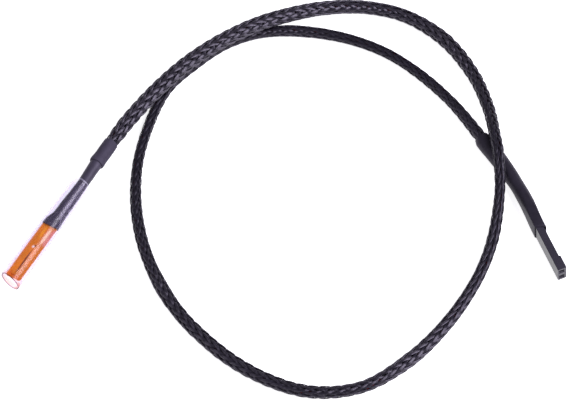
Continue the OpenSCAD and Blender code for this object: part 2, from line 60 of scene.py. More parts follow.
# Where the lead leaves the collar's axis, and the rest of its route to the connector boot in
# millimetres, as in the part's source
STRAIGHT_TO = 28.4 * MM
ROUTE = [
    (36, -0.7, 3.1), (46.5, -2.5, 4.1),
    (56.9, -5, 4.4), (66.8, -8.9, 4.5), (75.7, -13.8, 4.4), (84.3, -19.5, 3),
    (92.4, -26.6, 1.5), (98.2, -36.1, 1.4), (100.8, -47, 1.4), (99, -59, 1.4),
    (93, -70.5, 1.4), (84.7, -79.2, 2.8), (75.9, -85.6, 5.1), (70.5, -89.3, 5.6),
    (61.9, -94.1, 3.8), (50, -98.4, 1.5), (37, -100.4, 1.4), (22, -99.7, 1.4),
    (8.1, -96.3, 1.4), (-3.8, -89.8, 1.4), (-11.2, -79.1, 1.4), (-13.3, -66, 1.4),
    (-11.7, -53, 1.4), (-7, -39.5, 1.4), (0.9, -27.4, 1.4), (11.3, -17.3, 1.4),
    (23.4, -9.8, 1.4), (35.9, -5.4, 1.4), (49, -3.4, 1.4), (60.1, -5.8, 1.4),
    (70.1, -9.8, 1.4), (78.2, -16.9, 1.4), (84.2, -27.9, 1.4), (87.5, -41, 1.4),
    (87, -54, 1.4), (82.5, -69, 1.4), (75.5, -82, 1.9), (73, -86.5, 1.9),
]

# Width of the braid in millimetres at places along the whole route, counted in route points
BRAID_WIDTHS = [
    (0, 2.75), (0.74, 2.8), (1, 3.9), (1.4, 4.1), (2, 4.2), (3, 4.2), (4, 4.25), (5, 4.25),
    (6, 4.3), (7, 4.4), (8, 4.25), (9, 4), (10, 3.9), (11, 4.1), (12, 3.7), (13, 3.35),
    (14, 3.1), (15, 3), (16, 2.75), (17, 3.1), (18, 3.05), (19, 3.4), (20, 3.8), (20.6, 3.3),
    (21, 3.12), (22, 3.32), (23, 3.42), (24, 3.6), (25, 3.45), (25.5, 3.75), (26, 3.27), (27, 3.12),
    (28, 2.82), (29, 2.75), (30, 2.85), (31, 2.95), (32, 3.05), (33, 3.15), (33.5, 3.4), (34, 3.25),
    (35, 2.9), (36, 2.85), (37, 2.95), (38, 3.35), (38.3, 2.85), (39, 2.75),
]

# Places on the route where the collar lets go of the braid and where the boot takes hold of it
COLLAR_AT, BOOT_AT = 1.1, 38
WIRE_STEP = 1.5 * MM

# Middle of the clear tube's cut tip in millimetres, and the turn that makes a mask follow the cut
TUBE_TIP = (-21, 0, 2.8)
CUT_TURN = -0.168

# Tint of the highlights on shrink and braid, tint of the light, and the point that the lamps face
VIOLET_SHEEN = (0.9, 0.83, 1, 1)
COOL_LIGHT = (0.92, 0.89, 1)
LAMP_AIM = (0.04, -0.05, 0)

# Sockets of the colour mix node, whose names repeat
BASE, TINT, MIXED = 6, 7, 2


class ProbeSettings(PropertyGroup):
    """Sizes and colours of the probe: tube, film, sleeve and collar."""

    wall: FloatProperty(
        name="Tube wall", description="Wall of the clear tube",
        default=0.3 * MM, unit="LENGTH", subtype="DISTANCE",
    )
    straight: FloatProperty(
        name="Straight stretch", description="Length of the tube before it is drawn down",
        default=12 * MM, unit="LENGTH", subtype="DISTANCE",
    )
    rear_diameter: FloatProperty(
        name="Rear diameter", description="Outside diameter of the tube at its drawn end",
        default=4.8 * MM, unit="LENGTH", subtype="DISTANCE",
    )
    cut_slant: FloatProperty(
        name="Cut slant", description="Slant of the cut at the tip, as length per width", default=0.17
    )
    tube_tint: FloatVectorProperty(
        name="Tube tint", description="Tint of the clear tube",
        default=(0.97, 0.95, 1.0), size=3, subtype="COLOR",
    )
    amber: FloatVectorProperty(
        name="Film colour", description="Colour of the polyimide film",
        default=(0.85, 0.27, 0.008), size=3, subtype="COLOR",
    )
    shrink: FloatVectorProperty(
        name="Heat-shrink colour", description="Colour of sleeve and collar, darkened on the boot",
        default=(0.036, 0.031, 0.051), size=3, subtype="COLOR",
    )


class LeadSettings(PropertyGroup):
    """Sizes and colours of the braided lead."""

    wire: FloatProperty(
        name="Wire diameter", description="Outside diameter of one wire",
        default=1 * MM, unit="LENGTH", subtype="DISTANCE",
    )
    diameter: FloatProperty(
        name="Lead diameter", description="Outside diameter of the lead that the frame has",
        default=2.8 * MM, unit="LENGTH", subtype="DISTANCE",
    )
    lay: FloatProperty(
        name="Lay length", description="Length of one turn of a carrier",
        default=22.4 * MM, unit="LENGTH", subtype="DISTANCE",
    )
    carriers: IntProperty(
        name="Carriers", description="Carriers that turn each way", default=8, min=4, max=12
    )
    yarn: FloatProperty(
        name="Carrier width", description="Width of one carrier where the braid is tight",
        default=0.68 * MM, unit="LENGTH", subtype="DISTANCE",
    )
    thickness: FloatProperty(
        name="Carrier thickness", description="Thickness of one carrier where the braid is tight",
        default=0.15 * MM, unit="LENGTH", subtype="DISTANCE",
    )
    swing: FloatProperty(
        name="Swing", description="Share by which a carrier turns along the lead where it lies on top",
        default=0.5,
    )
    step: FloatProperty(
        name="Step", description="Distance between points along a carrier",
        default=0.33 * MM, unit="LENGTH", subtype="DISTANCE",
    )
    fibre: FloatVectorProperty(
        name="Braid colour", description="Colour of the filaments",
        default=(0.007, 0.0058, 0.011), size=3, subtype="COLOR",
    )
    red: FloatVectorProperty(
        name="Red wire", description="Colour of the red insulation",
        default=(0.22, 0.012, 0.02), size=3, subtype="COLOR",
    )
    black: FloatVectorProperty(
        name="Black wire", description="Colour of the black insulation",
        default=(0.012, 0.012, 0.014), size=3, subtype="COLOR",
    )


class PlugSettings(PropertyGroup):
    """Place and colour of the socket housing and wall of its boot."""

    rear: FloatVectorProperty(
        name="Rear face", description="Middle of the housing's rear face",
        default=(0.057, -0.1077, 0.002898), size=3, subtype="TRANSLATION",
    )
    heading: FloatProperty(
        name="Heading", description="Direction of the mating end on the floor",
        default=math.radians(-129.7), subtype="ANGLE",
    )
    roll: FloatProperty(
        name="Lean", description="Lean of the housing on its edge", default=math.radians(6), subtype="ANGLE"
    )
    boot_wall: FloatProperty(
        name="Boot wall", description="Wall of the boot where it grips the braid",
        default=0.38 * MM, unit="LENGTH", subtype="DISTANCE",
    )
    plastic: FloatVectorProperty(
        name="Housing colour", description="Colour of the housing",
        default=(0.027, 0.024, 0.036), size=3, subtype="COLOR",
    )


class StageSettings(PropertyGroup):
    """Camera, floor and even light."""

    camera_place: FloatVectorProperty(
        name="Camera", description="Place of the camera",
        default=(-0.25923, -0.212515, 0.52), size=3, subtype="TRANSLATION",
    )
    camera_aim: FloatVectorProperty(
        name="Aim", description="Point that the camera looks at",
        default=(0.03517, -0.047115, 0), size=3, subtype="TRANSLATION",
    )
    lens: FloatProperty(name="Lens", description="Focal length in millimetres", default=152.97)
    floor: FloatProperty(
        name="Floor", description="Side of the floor", default=3, unit="LENGTH", subtype="DISTANCE"
    )
    world: FloatProperty(name="World", description="Strength of the even light", default=0.38)


# Shapes


def unit(v):
    return v / np.linalg.norm(v)


def units(rows):
    """Each row of an array at length 1."""
    return rows / np.linalg.norm(rows, axis=1)[:, None]


def ease(u):
    """Goes from 0 to 1 with a soft start and end, and stays there outside."""
    u = np.clip(u, 0, 1)
    return u * u * (3 - 2 * u)


def mix(a, b, u):
    return a + (b - a) * u


def ripple(point, size, height):
    """Smooth unevenness of a given size, the same on every run."""
    return height * noise.noise(Vector(point) / size)


def new_object(name, mesh, *materials):
    """A finished piece at the origin that rides on the one body."""
    made = bpy.data.objects.new(name, mesh)
    bpy.context.scene.collection.objects.link(made)
    for material in materials:
        mesh.materials.append(material)
    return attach(made, "root")


def mesh_of(name, bm):
    """Writes a closed bmesh to a smooth mesh with its faces pointing outwards."""
    bmesh.ops.recalc_face_normals(bm, faces=bm.faces)
    for face in bm.faces:
        face.smooth = True
    mesh = bpy.data.meshes.new(name)
    bm.to_mesh(mesh)
    bm.free()
    return mesh


def ring_of(bm, points):
    """A closed loop of edges through the points."""
    verts = [bm.verts.new(p) for p in points]
    edges = [bm.edges.new((a, b)) for a, b in zip(verts, verts[1:] + verts[:1])]
    return verts, edges


def loft(bm, rings, closed=False):
    """Skins rings of equal counts by extruding the first one through the places of the rest.
    Closed joins the last ring to the first, as a sleeve's bore joins its outside; otherwise both
    ends are filled."""
    verts, edges = ring_of(bm, rings[0])
    first = list(edges)
    for ring in rings[1:]:
        made = bmesh.ops.extrude_edge_only(bm, edges=edges)["geom"]
        fresh = {v for v in made if isinstance(v, bmesh.types.BMVert)}
        moved = []
        for vert, point in zip(verts, ring):
            copy = next(e.other_vert(vert) for e in vert.link_edges if e.other_vert(vert) in fresh)
            copy.co = point
            moved.append(copy)
        edges = [e for e in made if isinstance(e, bmesh.types.BMEdge) and fresh.issuperset(e.verts)]
        verts = moved
    if closed:
        bmesh.ops.bridge_loops(bm, edges=first + edges)
    else:
        bmesh.ops.edgeloop_fill(bm, edges=first)
        bmesh.ops.edgeloop_fill(bm, edges=edges)


def round_rect(half_y, half_z, radius):
    """Points of a rectangle with round corners, a circle where its three sizes agree."""
    steps = 8
    points = []
    for corner, (sy, sz) in enumerate([(1, 1), (-1, 1), (-1, -1), (1, -1)]):
        for i in range(steps):
            a = math.pi / 2 * (corner + (i + 0.5) / steps)
            y = sy * (half_y - radius) + radius * math.cos(a)
            z = sz * (half_z - radius) + radius * math.sin(a)
            points.append((y, z))
    return points


def place(ring, centre, side, up):
    return [tuple(centre + side * y + up * z) for y, z in ring]


def turned(name, profile, centre, segments, material):
    """A piece turned about a line along X: profile is a closed loop of (x, radius)."""
    bm = bmesh.new()
    verts, edges = ring_of(bm, [(x, centre[1] + r, centre[2]) for x, r in profile])
    bmesh.ops.spin(
        bm, geom=verts + edges, cent=centre, axis=(1, 0, 0), angle=2 * math.pi, steps=segments, use_merge=True
    )
    bmesh.ops.remove_doubles(bm, verts=bm.verts, dist=1e-7)
    return new_object(name, mesh_of(name, bm), material)


# Lines of the lead and the plug


def route_points():
    """The whole route in metres: along the collar's axis from the sleeve's rear end, then ROUTE."""
    low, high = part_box("collar")
    middle = (low + high) / 2
    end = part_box("splice_sleeve")[1].x
    start = [(end, middle.y, middle.z), (STRAIGHT_TO, middle.y, middle.z)]
    return np.array(start + [tuple(c * MM for c in p) for p in ROUTE])


def smooth_line(points, per_span):
    """Catmull-Rom curve through the points, and the place on the route of each of its own."""
    ends = np.vstack([2 * points[0] - points[1], points, 2 * points[-1] - points[-2]])
    line, index = [], []
    for i in range(len(points) - 1):
        a, b, c, d = ends[i : i + 4]
        slope, bow, twist = (c - a) / 2, (2 * a - 5 * b + 4 * c - d) / 2, (3 * b - a - 3 * c + d) / 2
        for u in np.arange(per_span) / per_span:
            line.append(b + slope * u + bow * u**2 + twist * u**3)
            index.append(i + u)
    line.append(points[-1])
    index.append(len(points) - 1)
    return np.array(line), np.array(index)


class LeadLine:
    """The lead's line at even steps, with its side and up directions, the half width and half
    height of the braid, and how loose it is: 0 where it is tight, 1 where it is widest."""

    def __init__(self, settings, step):
        line, index = smooth_line(route_points(), per_span=40)
        gone = np.concatenate([[0], np.cumsum(np.linalg.norm(np.diff(line, axis=0), axis=1))])
        self.length = gone[-1]
        self.gone = np.linspace(0, self.length, int(round(self.length / step)) + 1)
        self.index = np.interp(self.gone, gone, index)
        self.points = np.stack([np.interp(self.gone, gone, line[:, k]) for k in range(3)], axis=1)

        places, widths = zip(*BRAID_WIDTHS)
        rough = np.interp(self.index, places, widths) * MM / 2
        window = 9
        rough = np.pad(rough, window // 2, mode="edge")
        self.half_width = np.convolve(rough, np.ones(window) / window, mode="valid")
        tight, more = 1.3, 0.6
        self.loose = np.clip((self.half_width / MM - tight) / more, 0, 1)
        # The braid is a little flat, and flatter where it is loose
        self.half_height = self.half_width * (0.93 - 0.1 * self.loose)

        # Between collar and boot the braid rests on the floor by its own half height
        radius, settle = settings.diameter / 2, 0.8
        held = ease(np.minimum(self.index - COLLAR_AT, BOOT_AT - self.index) / settle)
        height = np.maximum(self.points[:, 2], radius)
        self.points[:, 2] = height - (radius - self.half_height) * held
        along = units(np.gradient(self.points, axis=0))
        self.side = units(np.cross(UP, along))
        self.up = np.cross(along, self.side)


def plug_frames(settings):
    """The line of the boot: along the end of the lead, then over a bend to the housing's rear face.
    Each function gives a centre with its side and up directions."""
    points = route_points()
    end = points[-1]
    lead_dir = unit(end - points[-2])
    plug_dir = np.array([math.cos(settings.heading), math.sin(settings.heading), 0])
    rear = np.array(settings.rear)
    reach = np.linalg.norm(rear - end)
    bend = [end, end + lead_dir * reach * 0.6, rear - plug_dir * reach * 0.25, rear]

    def frame_at(centre, along, roll):
        side = unit(np.cross(UP, along))
        up = np.cross(unit(along), side)
        cos, sin = math.cos(roll), math.sin(roll)
        return centre, side * cos + up * sin, up * cos - side * sin

    def bend_at(u):
        w = 1 - u
        centre = bend[0] * w**3 + bend[1] * 3 * u * w**2 + bend[2] * 3 * u**2 * w + bend[3] * u**3
        slope = (bend[1] - bend[0]) * w**2 + (bend[2] - bend[1]) * 2 * u * w + (bend[3] - bend[2]) * u**2
        return frame_at(centre, slope, settings.roll * float(ease(u)))

    def grip_at(back):
        return frame_at(end - lead_dir * back, lead_dir, 0)

    def plug_at(x):
        return frame_at(rear + plug_dir * x, plug_dir, settings.roll)

    return bend_at, grip_at, plug_at, plug_dir


# Materials


def socket_of(group, name, way, kind):
    return group.interface.new_socket(name=name, in_out=way, socket_type=kind)


def node(tree, kind, x=0, y=0, **values):
    made = tree.nodes.new(kind)
    made.location = (x, y)
    for name, value in values.items():
        setattr(made, name, value)
    return made


def skin_group():
    """Unevenness that several finishes share: a colour that drifts, a roughness that varies and a
    fine relief."""
    known = bpy.data.node_groups.get("Uneven skin")
    if known:
        return known
    group = bpy.data.node_groups.new("Uneven skin", "ShaderNodeTree")
    for name, value in (("Dark", (0, 0, 0, 1)), ("Light", (1, 1, 1, 1))):
        socket_of(group, name, "INPUT", "NodeSocketColor").default_value = value
    for name, value in (("Patch size", 300), ("Grain size", 4000), ("Low gloss", 0.4), ("High gloss", 0.6)):
        socket_of(group, name, "INPUT", "NodeSocketFloat").default_value = value
    socket_of(group, "Colour", "OUTPUT", "NodeSocketColor")
    socket_of(group, "Roughness", "OUTPUT", "NodeSocketFloat")
    socket_of(group, "Relief", "OUTPUT", "NodeSocketFloat")
    inside = node(group, "NodeGroupInput", -900)
    outside = node(group, "NodeGroupOutput", 700)
    places = node(group, "ShaderNodeTexCoord", -900, -300)
    patches = node(group, "ShaderNodeTexNoise", -600, 200)
    patches.inputs["Detail"].default_value = 3
    grain = node(group, "ShaderNodeTexNoise", -600, -200)
    grain.inputs["Detail"].default_value = 2
    colour = node(group, "ShaderNodeMix", 0, 200, data_type="RGBA")
    contrast = node(group, "ShaderNodeMapRange", -300, 200)
    contrast.inputs["From Min"].default_value = 0.35
    contrast.inputs["From Max"].default_value = 0.65
    gloss = node(group, "ShaderNodeMapRange", 0, 0)
    gloss.inputs["From Min"].default_value = 0.3
    gloss.inputs["From Max"].default_value = 0.7
    relief = node(group, "ShaderNodeMath", 0, -250, operation="MULTIPLY_ADD")
    relief.inputs[1].default_value = 0.5
    link = group.links.new
    link(places.outputs["Object"], patches.inputs["Vector"])
    link(places.outputs["Object"], grain.inputs["Vector"])
    link(inside.outputs["Patch size"], patches.inputs["Scale"])
    link(inside.outputs["Grain size"], grain.inputs["Scale"])
    link(patches.outputs["Fac"], contrast.inputs["Value"])
    link(contrast.outputs["Result"], colour.inputs["Factor"])
    link(inside.outputs["Dark"], colour.inputs[BASE])
    link(inside.outputs["Light"], colour.inputs[TINT])
    link(grain.outputs["Fac"], gloss.inputs["Value"])
    link(inside.outputs["Low gloss"], gloss.inputs["To Min"])
    link(inside.outputs["High gloss"], gloss.inputs["To Max"])
    link(grain.outputs["Fac"], relief.inputs[0])
    link(patches.outputs["Fac"], relief.inputs[2])
    link(colour.outputs[MIXED], outside.inputs["Colour"])
    link(gloss.outputs["Result"], outside.inputs["Roughness"])
    link(relief.outputs["Value"], outside.inputs["Relief"])
    return group


def shaded(colour, amount):
    return tuple(min(1, c * amount) for c in colour[:3]) + (1,)


def finish_of(name, colour, spread, patch, grain, gloss, bump, depth, **plain):
    """A Principled finish whose colour, roughness and relief come from the shared group. Spread is
    the share by which the colour drifts, patch and grain are counts to the metre, gloss is the
    range of the roughness, and plain names the shader's other values."""
    known = bpy.data.materials.get(name)
    if known:
        return known
    material = bpy.data.materials.new(name)
    material.use_nodes = True
    tree = material.node_tree
    shader = tree.nodes["Principled BSDF"]
    for key, value in plain.items():
        shader.inputs[key.replace("_", " ")].default_value = value
    skin = node(tree, "ShaderNodeGroup", -500, 100, name="Skin")
    skin.node_tree = skin_group()
    skin.inputs["Dark"].default_value = shaded(colour, 1 - spread)
    skin.inputs["Light"].default_value = shaded(colour, 1 + spread)
    skin.inputs["Patch size"].default_value = patch
    skin.inputs["Grain size"].default_value = grain
    skin.inputs["Low gloss"].default_value, skin.inputs["High gloss"].default_value = gloss
    relief = node(tree, "ShaderNodeBump", -250, -200)
    relief.inputs["Strength"].default_value = bump
    relief.inputs["Distance"].default_value = depth
    tree.links.new(skin.outputs["Colour"], shader.inputs["Base Color"])
    tree.links.new(skin.outputs["Roughness"], shader.inputs["Roughness"])
    tree.links.new(skin.outputs["Relief"], relief.inputs["Height"])
    tree.links.new(relief.outputs["Normal"], shader.inputs["Normal"])
    material.diffuse_color = shaded(colour, 1)
    return material


def shrink_finish(name, colour, gloss, bump, **plain):
    """Finish of the shrunk pieces, which differ in shade, gloss and relief."""
    return finish_of(
        name, colour, spread=0.18, patch=420, grain=5200, gloss=gloss, bump=bump, depth=0.06 * MM,
        Specular_Tint=VIOLET_SHEEN, **plain,
    )


def wire_finish(name, colour):
    return finish_of(
        name, colour, spread=0.12, patch=250, grain=3500, gloss=(0.35, 0.5), bump=0.08, depth=0.02 * MM
    )


def metal_finish(name, colour, patch, grain, gloss, bump, depth, spread=0.1):
    return finish_of(name, colour, spread, patch, grain, gloss, bump, depth, Metallic=1.0)


def braid_finish(settings):
    """Bundles of filaments, which shine across their length; loose stretches shine more than tight
    ones."""
    name = "Braid filament"
    if name in bpy.data.materials:
        return bpy.data.materials[name]
    material = finish_of(
        name, settings.fibre, spread=0.35, patch=700, grain=4200, gloss=(0.33, 0.4), bump=0.1,
        depth=0.01 * MM, Specular_Tint=VIOLET_SHEEN, Anisotropic=0.95, Anisotropic_Rotation=0.25,
    )
    tree = material.node_tree
    shader = tree.nodes["Principled BSDF"]
    lie = node(tree, "ShaderNodeTangent", -250, -450, direction_type="UV_MAP", uv_map="UVMap")
    loose = node(tree, "ShaderNodeAttribute", -700, -300, attribute_name="loose")
    shine = node(tree, "ShaderNodeMapRange", -450, -350)
    shine.inputs["To Min"].default_value = 0.3
    shine.inputs["To Max"].default_value = 0.85
    tree.links.new(loose.outputs["Fac"], shine.inputs["Value"])
    tree.links.new(shine.outputs["Result"], shader.inputs["Specular IOR Level"])
    tree.links.new(lie.outputs["Tangent"], shader.inputs["Tangent"])
    return material


def spot(tree, centre, radii, full, soft=0.0, turn=0.0):
    """Mask of an ellipsoid given in millimetres. Its depth is 0 at the skin and 1 in the middle, and
    the mask goes from 0 at the depth soft to 1 at the depth full."""
    places = node(tree, "ShaderNodeTexCoord", -1500, 0)
    moved = node(tree, "ShaderNodeMapping", -1300, 0, vector_type="TEXTURE")
    moved.inputs["Location"].default_value = [c * MM for c in centre]
    moved.inputs["Rotation"].default_value = (0, 0, turn)
    moved.inputs["Scale"].default_value = [r * MM for r in radii]
    ball = node(tree, "ShaderNodeTexGradient", -1100, 0, gradient_type="SPHERICAL")
    edge = node(tree, "ShaderNodeMapRange", -900, 0, interpolation_type="SMOOTHSTEP")
    edge.inputs["From Min"].default_value = soft
    edge.inputs["From Max"].default_value = full
    tree.links.new(places.outputs["Object"], moved.inputs["Vector"])
    tree.links.new(moved.outputs["Vector"], ball.inputs["Vector"])
    tree.links.new(ball.outputs["Fac"], edge.inputs["Value"])
    return edge.outputs["Result"]


def tinted(tree, base, mask, tint):
    """Colour that goes from the base to the tint where the mask does from 0 to 1."""
    blend = node(tree, "ShaderNodeMix", -300, 400, data_type="RGBA")
    blend.inputs[TINT].default_value = tint
    tree.links.new(mask, blend.inputs["Factor"])
    tree.links.new(base, blend.inputs[BASE])
    return blend.outputs[MIXED]


def let_light_through(material, tint):
    """Light reaches what the clear piece holds: to shadow and diffuse rays it is a tinted pane."""
    tree = material.node_tree
    shader = tree.nodes["Principled BSDF"]
    out = tree.nodes["Material Output"]
    pane = node(tree, "ShaderNodeBsdfTransparent", 50, -350)
    pane.inputs["Color"].default_value = tint
    rays = node(tree, "ShaderNodeLightPath", 50, 400)
    either = node(tree, "ShaderNodeMath", 200, 300, operation="MAXIMUM")
    blend = node(tree, "ShaderNodeMixShader", 350, 0)
    tree.links.new(rays.outputs["Is Shadow Ray"], either.inputs[0])
    tree.links.new(rays.outputs["Is Diffuse Ray"], either.inputs[1])
    tree.links.new(either.outputs["Value"], blend.inputs["Fac"])
    tree.links.new(shader.outputs["BSDF"], blend.inputs[1])
    tree.links.new(pane.outputs["BSDF"], blend.inputs[2])
    tree.links.new(blend.outputs["Shader"], out.inputs["Surface"])


# Operators


class SENSOR_OT_camera(Operator):
    """Places the camera"""

    bl_idname = "sensor.camera"
    bl_label = "Camera"

    def execute(self, context):
        settings = context.scene.sensor_stage
        data = bpy.data.cameras.new("camera")
        data.lens = settings.lens
        data.sensor_width = 36
        data.clip_start = 0.01
        camera = bpy.data.objects.new("camera", data)
        context.scene.collection.objects.link(camera)
        camera.location = settings.camera_place
        aim = Vector(settings.camera_aim) - Vector(settings.camera_place)
        camera.rotation_euler = aim.to_track_quat("-Z", "Y").to_euler()
        context.scene.camera = camera
        return {"FINISHED"}


class SENSOR_OT_lead(Operator):
    """Lays the pair of wires along the route and braids the sleeve over it"""

    bl_idname = "sensor.lead"
    bl_label = "Braided lead"

    def execute(self, context):
        settings = context.scene.sensor_lead
        self.wires(settings)
        self.braid(settings)
        return {"FINISHED"}

    def wires(self, settings):
        """Two insulated wires side by side, which turn on edge before the boot."""
        line = LeadLine(settings, WIRE_STEP)
        r = settings.wire / 2
        apart = r * 1.03
        sides, joined = 9, math.radians(20)
        section = []
        for y, start, stop in ((-apart, 0, 2 * math.pi), (apart, math.pi, 3 * math.pi)):
            for a in np.linspace(start + joined, stop - joined, sides):
                section.append((-(y + r * math.cos(a)), r * math.sin(a)))
        # Places on the route: on edge from 36.6 to 38.6, and no more sway past 37
        on_edge = ease((line.index - 36.6) / 2) * math.pi / 2
        sway = 0.25 * np.sin(line.gone / (31 * MM)) * ease((37 - line.index) / 3)
        rings, red_side = [], []
        for k, a in enumerate(sway - on_edge):
            side = line.side[k] * math.cos(a) + line.up[k] * math.sin(a)
            up = line.up[k] * math.cos(a) - line.side[k] * math.sin(a)
            rings.append(place(section, line.points[k], side, up))
            red_side.append(side)
        bm = bmesh.new()
        loft(bm, rings)
        for face in bm.faces:
            c = np.array(face.calc_center_median())
            k = int(np.argmin(np.linalg.norm(line.points - c, axis=1)))
            face.material_index = 0 if (c - line.points[k]) @ red_side[k] > 0 else 1
        pair = new_object(
            "wire_pair", mesh_of("wire_pair", bm), wire_finish("Red insulation", settings.red),
            wire_finish("Black insulation", settings.black),
        )
        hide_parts("braided_lead")

    def braid(self, settings):
        """Carriers that turn both ways. Each passes over two of the other way, then under two, so
        that floats form ribs."""
        line = LeadLine(settings, settings.step)
        n = settings.carriers
        pitch = settings.lay * (1 + 0.04 * line.loose[1:])
        turn = np.concatenate([[0], np.cumsum(np.diff(line.gone) * 2 * math.pi / pitch)])
        thick = settings.thickness * (1 + 1.5 * line.loose)
        radius = np.sqrt(line.half_width * line.half_height)
        spare, inset = 0.01 * MM, thick * 1.07
        yarn = settings.yarn * (radius / (1.4 * MM)) ** 0.9
        # A float is at its full height over both of its crossings, 45 degrees off its middle
        steep, crest = 1.6, math.tanh(1.13)
        chance = np.random.RandomState(7)

        def wave(height, length, start):
            return height * np.sin(line.gone / length + start)

        for piece in range(n):
            bm = bmesh.new()
            for way in (1, -1):
                start = chance.uniform(0, 2 * math.pi, 5)
                wander = wave(0.04, 5.3 * MM, start[0]) + wave(0.05, 14.1 * MM, start[1])
                lift = wave(0.02 * MM, 4.7 * MM, start[2])
                phase = math.pi / 2 * (2 * piece + way * turn * n / math.pi - 0.5)
                rise = way * (thick / 2 + spare) * np.tanh(steep * np.cos(phase)) / crest
                swung = turn - settings.swing * np.sin(phase) * 2 / n
                angle = 2 * math.pi * piece / n + way * swung + wander
                cos, sin = np.cos(angle), np.sin(angle)
                outward = units(np.stack([line.half_height * cos, line.half_width * sin], axis=1))
                normal = line.side * outward[:, :1] + line.up * outward[:, 1:]
                points = line.points + line.side * ((line.half_width - inset) * cos)[:, None]
                points += line.up * ((line.half_height - inset) * sin)[:, None]
                points += normal * (rise + lift)[:, None]
                width = yarn * (1 + wave(0.08, 6.1 * MM, start[3]))
                self.carrier(bm, points, normal, width, thick, radius, line.loose)
            name = f"braid_carriers_{piece + 1}"
            carrier = new_object(name, mesh_of(name, bm), braid_finish(settings))

    def carrier(self, bm, points, normal, width, thick, radius, loose):
        """A grid rolled into a flattened yarn along the points, bent round the lead, with closed
        ends."""
        along = units(np.gradient(points, axis=0))
        across = units(np.cross(along, normal))
        count, sides = len(points) - 1, 10
        slack = bm.verts.layers.float.get("loose") or bm.verts.layers.float.new("loose")
        if not bm.loops.layers.uv:
            bm.loops.layers.uv.new("UVMap")
        grid = bmesh.ops.create_grid(bm, x_segments=count, y_segments=sides, size=1, calc_uvs=True)["verts"]
        for v in grid:
            i = round((v.co.x + 1) / 2 * count)
            a = (v.co.y + 1) * math.pi
            q = math.cos(a) * width[i] / 2
            v[slack] = loose[i]
            high = math.sin(a) * thick[i] / 2 - q * q / (2 * radius[i])
            v.co = points[i] + across[i] * q + normal[i] * high
        bmesh.ops.remove_doubles(bm, verts=grid, dist=1e-8)
        bmesh.ops.holes_fill(bm, edges=[e for e in bm.edges if e.is_boundary])


class SENSOR_OT_clear_tube(Operator):
    """Turns the clear tube with its round rims"""

    bl_idname = "sensor.clear_tube"
    bl_label = "Clear tube"

    def execute(self, context):
        settings = context.scene.sensor_probe
        low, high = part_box("clear_tube")
        middle = (low + high) / 2
        r, rear, wall = (high.z - low.z) / 2, settings.rear_diameter / 2, settings.wall
        rim = wall / 2
        arc = np.linspace(math.pi / 2, -math.pi / 2, 9)
        tip = [(low.x + rim - rim * math.cos(a), r - rim + rim * math.sin(a)) for a in arc[::-1]]
        tail = [(high.x - rim + rim * math.cos(a), rear - rim + rim * math.sin(a)) for a in arc]
        near = [rim + 0.03 * MM, rim + 0.12 * MM]
        outside = [(low.x + d, r) for d in near + [1 * MM, 4 * MM, 7 * MM, 10 * MM]]
        drawn_from, drawn_to = low.x + settings.straight - 1 * MM, high.x - near[1]
        for u in np.linspace(0, 1, 9):
            outside.append((mix(drawn_from, drawn_to, u), mix(r, rear, u * 0.8 + float(ease(u)) * 0.2)))
        outside.append((high.x - near[0], rear))
        inside = [(x, q - wall) for x, q in outside[::-1]]
        clear = finish_of(
            "Clear tube", settings.tube_tint, spread=0.02, patch=160, grain=300, gloss=(0.2, 0.24),
            bump=0.02, depth=0.02 * MM, IOR=1.22, Specular_IOR_Level=0.05, Coat_Weight=0.08,
            Coat_Roughness=0.3, Coat_Tint=(0.96, 0.94, 1, 1), Transmission_Weight=1.0,
        )
        self.tint_edges_and_paint_light(clear, high.x / MM)
        let_light_through(clear, (0.95, 0.93, 0.98, 1))
        profile = tip + outside + tail + inside
        tube = turned("clear_tube_skin", profile, (0, middle.y, middle.z), 96, clear)
        slanted = 9 * MM
        for v in tube.data.vertices:
            share = 1 - float(ease((v.co.x - low.x) / slanted))
            v.co.x += settings.cut_slant * share * (v.co.y - middle.y)
        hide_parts("clear_tube")
        return {"FINISHED"}

    def tint_edges_and_paint_light(self, material, rear):
        """The plastic shows its violet tint where light crosses more of it. A painted reflection of the
        film warms the tip, a painted orange refraction of it colours the tip's lower edge, painted
        shade darkens the front rim as a line, and the rear rim glows as a pale painted highlight."""
        tree = material.node_tree
        shader = tree.nodes["Principled BSDF"]
        facing = node(tree, "ShaderNodeLayerWeight", -700, 400)
        facing.inputs["Blend"].default_value = 0.35
        rim = (0.34, 60, 60)
        tip = spot(tree, TUBE_TIP, (2.2, 7, 7), 0.5, soft=0.1)
        lip = spot(tree, (-21.1, -1.8, 1.9), (1.1, 1.9, 2.6), 0.4)
        front_rim_shade = spot(tree, TUBE_TIP, rim, 0.4, turn=CUT_TURN)
        rear_rim_glow = spot(tree, (rear, *TUBE_TIP[1:]), rim, 0.4)
        colour = tree.nodes["Skin"].outputs["Colour"]
        # Painted reflection of the film at the tip
        colour = tinted(tree, colour, tip, (1, 0.74, 0.64, 1))
        # Painted orange refraction of the film on the tip's lower edge
        colour = tinted(tree, colour, lip, (0.8, 0.25, 0.08, 1))
        colour = tinted(tree, colour, facing.outputs["Facing"], (0.66, 0.6, 0.82, 1))
        # Painted shade along the front rim
        colour = tinted(tree, colour, front_rim_shade, (0.4, 0.28, 0.34, 1))
        tree.links.new(colour, shader.inputs["Base Color"])
        # The rear rim glows with a painted pale highlight
        dark = node(tree, "ShaderNodeRGB", -700, -300)
        dark.outputs["Color"].default_value = (0, 0, 0, 1)
        pale = tinted(tree, dark.outputs["Color"], rear_rim_glow, (0.13, 0.12, 0.17, 1))
        tree.links.new(pale, shader.inputs["Emission Color"])
        shader.inputs["Emission Strength"].default_value = 1.0


